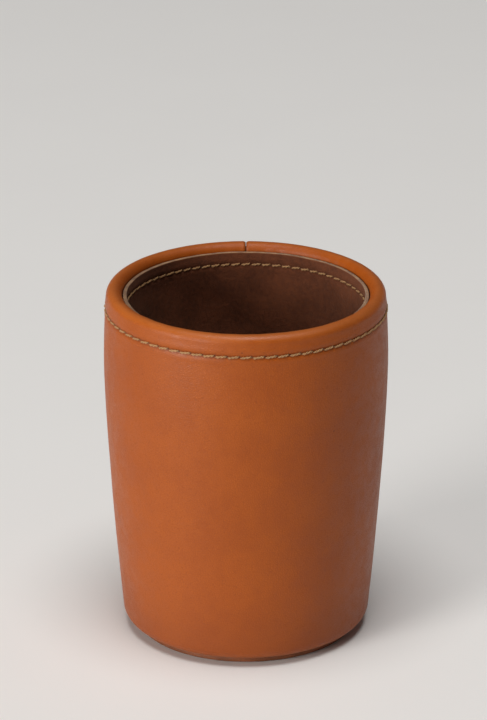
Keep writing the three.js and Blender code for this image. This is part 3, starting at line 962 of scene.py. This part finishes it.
def suede_lining(form):
    """The lining: a sheet against the inside of the wall, its ends meeting at the front."""
    s = form.sizes
    top, bottom = LINING_HIGH.z, LINING_LOW.z
    stitch_z = row_height("rim_stitch_inner")
    heights = np.concatenate([
        np.linspace(top - 0.1 * MM, stitch_z - 2.4 * MM, 20)[:-1],
        np.linspace(stitch_z - 2.4 * MM, bottom, 70),
    ])
    face, back = form.wall(form.bore_depth, heights), form.wall(s.lining_depth, heights)
    bore = float(face[0, 0])
    angles = sheet_angles(s.columns - 72, s.slit / 2 / bore, -math.pi / 2, 0.12, 0.0090)
    points, behind = spin(face, angles), spin(back, angles)
    normal = -spin(np.stack([np.ones(len(face)), np.zeros(len(face))], axis=1), angles)
    shift = 0.10 * MM * ripple(points, 0.016, 11) + 0.05 * MM * ripple(points, 0.0045, 12)
    shift += 0.02 * MM * ripple(points, 0.0014, 13)
    gap = np.minimum(angles - angles[0], angles[-1] - angles)[:, None] * bore
    shift -= 0.15 * MM * hump(gap, 0.5 * MM)
    pull = valleys(points, ["rim_stitch_inner"], form)
    shift -= 0.8 * bpy.context.scene.cup_stitches.valley * pull
    points = points + normal * shift[..., None]
    # the cut edge isn't quite level
    edge = hump((heights - heights[0])[None, :], 1.2 * MM)
    top_row = points[:, :1]
    uneven = (0.10 * ripple(top_row, 0.009, 14) + 0.04 * ripple(top_row, 0.0018, 15)) * MM
    points[..., 2] += uneven * edge
    behind[..., 2] += uneven * edge
    parts = thick_sheet(points, behind, 0.10 * MM)
    # mask of painted shade along the stitch valley and the slit
    recess_shade = np.clip(pull, 0, 1) * 0.8 + 0.5 * hump(gap, 0.35 * MM)
    return parts, {"recess_shade": np.clip(recess_shade, 0, 1)}


def felt_pad():
    """The felt disc on the floor, matted and a little uneven."""
    low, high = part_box("floor_pad")
    radius, fluff = high.x, 0.18 * MM
    flat = np.linspace(0, radius - 0.6 * MM, 46)
    edge = arc(radius - 0.6 * MM, high.z - 0.6 * MM + fluff, 0.6 * MM, 0, 90, 5)
    profile = np.concatenate([
        [(0, low.z), (radius * 0.5, low.z), (radius, low.z)],
        edge,
        np.stack([flat[::-1][1:], np.full(45, high.z + fluff)], axis=1),
    ])

    def matted(grid):
        loose = fade(grid[..., 2], low.z, high.z)
        lift = 0.08 * ripple(grid, 0.0035, 21) + 0.07 * ripple(grid, 0.0012, 22)
        grid = grid.copy()
        grid[..., 2] += (lift - 0.03) * MM * loose
        return grid

    return turned_body(profile, 240, matted)


def sole_disc(form):
    """The leather disc that the cup stands on, with a channel for its stitches."""
    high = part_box("base_disc")[1]
    row_low, row_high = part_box("base_stitch")
    radius = high.x
    row = row_high.x - (row_high.z - row_low.z) / 2
    deep = row_high.z - 0.04 * MM
    inner = np.linspace(0, row - 1.1 * MM, 36)
    channel = np.linspace(-1, 1, 15)
    cut = np.stack([row + channel * 0.75 * MM,
                    deep * np.clip(1.35 * (1 - channel**4), 0, 1)], axis=1)
    outer = np.linspace(row + 1.1 * MM, radius - 0.45 * MM, 6)
    bevel = arc(radius - 0.45 * MM, 0.45 * MM, 0.45 * MM, -90, 0, 6)
    crown = arc(radius - 0.25 * MM, high.z - 0.25 * MM, 0.25 * MM, 0, 90, 4)
    profile = np.concatenate([
        np.stack([inner, 0 * inner], axis=1), cut, np.stack([outer[:-1], 0 * outer[:-1]], axis=1),
        bevel, crown, [(radius * 0.5, high.z), (0, high.z)],
    ])

    def pressed_in(grid):
        out = np.hypot(grid[..., 0], grid[..., 1])
        holes = stitch_holes(form, "base_stitch")[0]
        facing = grid[..., 2] < 1.2 * MM
        pinch = np.zeros(grid.shape[:-1])
        for hole in holes[:-1]:
            away = np.hypot(grid[..., 0] - hole[0], grid[..., 1] - hole[1])
            pinch = np.maximum(pinch, hump(away, 0.5 * MM))
        grid = grid.copy()
        dent = np.abs(ripple(grid, 0.006, 31)) * 0.06 + 0.02 * np.abs(ripple(grid, 0.0015, 32))
        grid[..., 2] += (dent * (out < radius - 0.5 * MM) + 0.25 * pinch) * MM * facing
        return grid

    points, faces = turned_body(profile, 384, pressed_in)
    out = np.hypot(points[:, 0], points[:, 1])
    # mask of painted shade in the stitch channel
    channel_shade = hump(out - row, 0.62 * MM) * (points[:, 2] < 1.1 * MM)
    worn = (points[:, 2] < 0.12 * MM) * 0.72 + 0.5 * hump(out - radius, 1.2 * MM)
    return points, faces, {"worn": np.clip(worn, 0, 1), "recess_shade": np.clip(channel_shade, 0, 1)}


def die_block(s):
    """A die about its own centre with the one on top: points, faces, masks and finish numbers."""
    half, grid_half = s.edge / 2, 1.5 * s.pip_spacing
    lines = np.concatenate([
        np.linspace(-half, -grid_half, MARGIN_CELLS + 1)[:-1],
        np.linspace(-grid_half, grid_half, 3 * PIP_CELLS + 1),
        np.linspace(grid_half, half, MARGIN_CELLS + 1)[1:],
    ])
    size = len(lines)
    points, faces, finish, worn, rim = [], [], [], [], []
    for number, pattern in PIP_PATTERNS.items():
        turn = FACE_UP[number].to_matrix().inverted()
        flat_x, flat_y = np.meshgrid(lines, lines, indexing="ij")
        cube = np.stack([flat_x, flat_y, np.full_like(flat_x, half)], axis=-1).reshape(-1, 3)
        own, own_rim = [cube], [np.zeros(len(cube))]
        index = np.arange(size * size).reshape(size, size)
        filled = np.ones((size - 1, size - 1), bool)
        count, own_faces, own_finish = len(cube), [], []
        for px, py in pattern:
            i, j = MARGIN_CELLS + PIP_CELLS * (px + 1), MARGIN_CELLS + PIP_CELLS * (py + 1)
            far_i, far_j = i + PIP_CELLS, j + PIP_CELLS
            filled[i:far_i, j:far_j] = False
            outer = np.concatenate([index[i:far_i, j], index[far_i, j:far_j],
                                    index[far_i:i:-1, far_j], index[i, far_j:j:-1]])
            turns = math.radians(-135) + np.arange(PIP_SIDES) * math.tau / PIP_SIDES
            middle_x, middle_y = px * s.pip_spacing, py * s.pip_spacing
            for ring, depth in PIP_RINGS:
                radius = ring * s.pip
                own.append(np.stack([middle_x + radius * np.cos(turns),
                                     middle_y + radius * np.sin(turns),
                                     np.full(PIP_SIDES, half - depth * s.pip_depth)], axis=1))
                own_rim.append(np.full(PIP_SIDES, 1.0 if 0.9 < ring <= 1.0 else 0.0))
                inner = count + np.arange(PIP_SIDES)
                count += PIP_SIDES
                band = [outer, np.roll(outer, -1), np.roll(inner, -1), inner]
                own_faces += np.stack(band, axis=1).tolist()
                own_finish += [1 if ring < 1.0 else 0] * PIP_SIDES
                outer = inner
            own.append(np.array([[middle_x, middle_y, half - s.pip_depth]]))
            own_rim.append(np.zeros(1))
            own_faces += [[outer[k], outer[(k + 1) % PIP_SIDES], count] for k in range(PIP_SIDES)]
            own_finish += [1] * PIP_SIDES
            count += 1
        plain = grid_faces(index)[filled]
        own_faces += plain.tolist()
        own_finish += [0] * len(plain)
        own = np.concatenate(own)
        # brought in to the ball, with a soft line where flat and ball meet
        deep = half - own[:, 2]
        on_cube = own.copy()
        on_cube[:, 2] = half
        ball = s.ball / np.linalg.norm(on_cube, axis=1)
        blend = np.clip(0.5 + 0.5 * (ball - 1) / 0.03, 0, 1)
        scale = ball * (1 - blend) + blend - 0.03 * blend * (1 - blend)
        on_cube *= scale[:, None]
        on_cube[:, 2] -= deep
        worn.append(hump(ball - 0.985, 0.035) * (deep < 1e-9))
        rim.append(np.concatenate(own_rim))
        shift = sum(len(p) for p in points)
        points.append(on_cube @ np.array(turn).T)
        faces += [[v + shift for v in f] for f in own_faces]
        finish += own_finish
    masks = {"worn": np.concatenate(worn), "rim": np.concatenate(rim)}
    return np.concatenate(points), faces, finish, masks


def make_sheet(name, built, finish, edge, packed):
    """A piece of the cup from a built sheet, with its own finish on the cut edges."""
    (points, faces, on_grids), masks = built
    finish_of = [0] * on_grids + [1] * (len(faces) - on_grids)
    make_piece(name, points, faces, [finish, edge], "cup", [packed], masks, finish_of)


def weld(piece):
    """Joins points that lie on each other, so that shading runs across the edges."""
    work = bmesh.new()
    work.from_mesh(piece.data)
    bmesh.ops.remove_doubles(work, verts=work.verts, dist=1e-7)
    work.to_mesh(piece.data)
    work.free()
    piece.data.update()


# ---------------------------------------------------------------- operators


class DICECUP_OT_shell(bpy.types.Operator):
    """Build the smooth outer leather with its turned rim and base"""

    bl_idname = "dicecup.shell"
    bl_label = "Outer leather"

    def execute(self, context):
        make_sheet("leather_shell", leather_shell(CupForm(context.scene.cup_sizes)),
                   smooth_leather(), cut_leather_edge(), "outer_leather")
        return {"FINISHED"}


class DICECUP_OT_lining(bpy.types.Operator):
    """Build the suede lining of the wall"""

    bl_idname = "dicecup.lining"
    bl_label = "Suede lining"

    def execute(self, context):
        make_sheet("suede_lining", suede_lining(CupForm(context.scene.cup_sizes)),
                   suede(), cut_suede_edge(), "lining_wall")
        return {"FINISHED"}


class DICECUP_OT_floor(bpy.types.Operator):
    """Build the felt pad on the cup's floor"""

    bl_idname = "dicecup.floor"
    bl_label = "Felt floor"

    def execute(self, context):
        points, faces = felt_pad()
        pad = make_piece("felt_floor", points, faces, [felt()], "cup", ["floor_pad"])
        return {"FINISHED"}


class DICECUP_OT_sole(bpy.types.Operator):
    """Build the leather disc under the base"""

    bl_idname = "dicecup.sole"
    bl_label = "Base disc"

    def execute(self, context):
        points, faces, masks = sole_disc(CupForm(context.scene.cup_sizes))
        make_piece("sole_disc", points, faces, [sole_leather()], "cup",
                   ["base_disc"], masks)
        return {"FINISHED"}


class DICECUP_OT_stitches(bpy.types.Operator):
    """Build the rows of stitching, one stitch at a time"""

    bl_idname = "dicecup.stitches"
    bl_label = "Stitching"

    def execute(self, context):
        form = CupForm(context.scene.cup_sizes)
        rows = {
            "rim_stitches_outside": "rim_stitch_outer",
            "rim_stitches_inside": "rim_stitch_inner",
            "seam_stitches_left": "seam_stitch_left",
            "seam_stitches_right": "seam_stitch_right",
            "sole_stitches": "base_stitch",
        }
        for seed, (name, row) in enumerate(rows.items()):
            holes, away = stitch_holes(form, row)
            points, faces, masks = stitch_row(holes, away, seed + 40)
            make_piece(name, points, faces, [waxed_thread()], "cup", [row], masks)
        return {"FINISHED"}


class DICECUP_OT_core(bpy.types.Operator):
    """Give the board and the strip inside the wall their finishes"""

    bl_idname = "dicecup.core"
    bl_label = "Core"

    def execute(self, context):
        finishes = {"core_wall": board(), "core_base": board(), "base_filler": board(),
                    "seam_backing_strip": sole_leather()}
        for name, finish in finishes.items():
            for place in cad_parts[name].material_slots:
                place.material = finish
        return {"FINISHED"}


class DICECUP_OT_dice(bpy.types.Operator):
    """Build the six ivory dice where they lie in the cup"""

    bl_idname = "dicecup.dice"
    bl_label = "Dice"

    def execute(self, context):
        points, faces, finish, masks = die_block(context.scene.cup_dice)
        for number, turn in DIE_TURNS.items():
            name = f"die_{number}"
            low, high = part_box(name)
            place = (Matrix.Translation((low + high) / 2)
                     @ Matrix.Rotation(math.radians(turn), 4, "Z")
                     @ FACE_UP[number].to_matrix().to_4x4())
            weld(make_piece(f"ivory_die_{NUMBER_WORDS[number]}", points, faces,
                            [ivory_plastic(), pip_paint()], name, [name], masks, finish,
                            place))
        return {"FINISHED"}


class DICECUP_OT_studio(bpy.types.Operator):
    """Set up the pale floor, the soft lights and the camera"""

    bl_idname = "dicecup.studio"
    bl_label = "Studio"

    def execute(self, context):
        s = context.scene.cup_studio
        mesh = bpy.data.meshes.new("studio_floor")
        ticks = np.linspace(-FLOOR_REACH, FLOOR_REACH, FLOOR_TICKS)
        points = [(x, y, -FLOOR_DROP) for x in ticks for y in ticks]
        index = np.arange(FLOOR_TICKS**2).reshape(FLOOR_TICKS, FLOOR_TICKS)
        mesh.from_pydata(points, [], grid_faces(index).reshape(-1, 4).tolist())
        mesh.materials.append(studio_floor())
        floor = bpy.data.objects.new("studio_floor", mesh)
        context.collection.objects.link(floor)

        middle = Vector((0, 0, SHELL_HIGH.z * 0.5))
        self.light(context, "key_light", s.key_turn, s.key_rise, s.key_width, s.key_power,
                   (1.0, 0.97, 0.93), middle)
        self.light(context, "top_light", 0.0, TOP_LIGHT_RISE, TOP_LIGHT_WIDTH, s.top_power,
                   (1.0, 0.99, 0.97), middle)

        world = bpy.data.worlds.new("studio_room")
        world.use_nodes = True
        sky = world.node_tree.nodes["Background"]
        sky.inputs["Color"].default_value = (1.0, 0.99, 0.975, 1.0)
        sky.inputs["Strength"].default_value = s.sky
        context.scene.world = world
        context.scene.view_settings.view_transform = "Standard"

        camera = bpy.data.objects.new("studio_camera", bpy.data.cameras.new("studio_camera"))
        camera.data.lens = s.camera_lens
        camera.data.clip_start, camera.data.clip_end = 0.05, 50.0
        camera.location = CAMERA_PLACE
        camera.rotation_euler = (math.pi / 2 - s.camera_pitch, 0, 0)
        context.collection.objects.link(camera)
        context.scene.camera = camera
        return {"FINISHED"}

    @staticmethod
    def light(context, name, turn, rise, width, power, tone, target):
        """A round soft light, turned so far left of the camera and raised so far."""
        lamp = bpy.data.lights.new(name, "AREA")
        lamp.shape, lamp.size = "DISK", width
        lamp.energy, lamp.color = power, tone
        made = bpy.data.objects.new(name, lamp)
        away = Vector((-math.sin(turn) * math.cos(rise), -math.cos(turn) * math.cos(rise),
                       math.sin(rise)))
        made.location = target + away * LIGHT_DISTANCE
        made.rotation_euler = away.to_track_quat("Z", "Y").to_euler()
        context.collection.objects.link(made)


class DICECUP_PT_panel(bpy.types.Panel):
    """Lists the cup's pieces and sizes"""

    bl_idname = "DICECUP_PT_panel"
    bl_label = "Dice Cup"
    bl_space_type = "VIEW_3D"
    bl_region_type = "UI"
    bl_category = "Dice Cup"

    def draw(self, context):
        for step in STEPS:
            self.layout.operator(step.bl_idname)
        for group in ("cup_sizes", "cup_stitches", "cup_dice", "cup_finishes", "cup_studio"):
            box = self.layout.box()
            settings = getattr(context.scene, group)
            for name in settings.__annotations__:
                box.prop(settings, name)


STEPS = [
    DICECUP_OT_studio,
    DICECUP_OT_core,
    DICECUP_OT_shell,
    DICECUP_OT_lining,
    DICECUP_OT_floor,
    DICECUP_OT_sole,
    DICECUP_OT_stitches,
    DICECUP_OT_dice,
]
SETTINGS = {
    "cup_sizes": DiceCupSizes,
    "cup_stitches": StitchSizes,
    "cup_dice": DieSizes,
    "cup_finishes": CupFinishes,
    "cup_studio": StudioSettings,
}


def register():
    for kind in [*SETTINGS.values(), *STEPS, DICECUP_PT_panel]:
        bpy.utils.register_class(kind)
    for name, kind in SETTINGS.items():
        setattr(bpy.types.Scene, name, PointerProperty(type=kind))


def unregister():
    for name in SETTINGS:
        delattr(bpy.types.Scene, name)
    for kind in reversed([*SETTINGS.values(), *STEPS, DICECUP_PT_panel]):
        bpy.utils.unregister_class(kind)


def main():
    register()
    for step in STEPS:
        area, name = step.bl_idname.split(".")
        getattr(getattr(bpy.ops, area), name)()


if __name__ == "__main__":
    main()
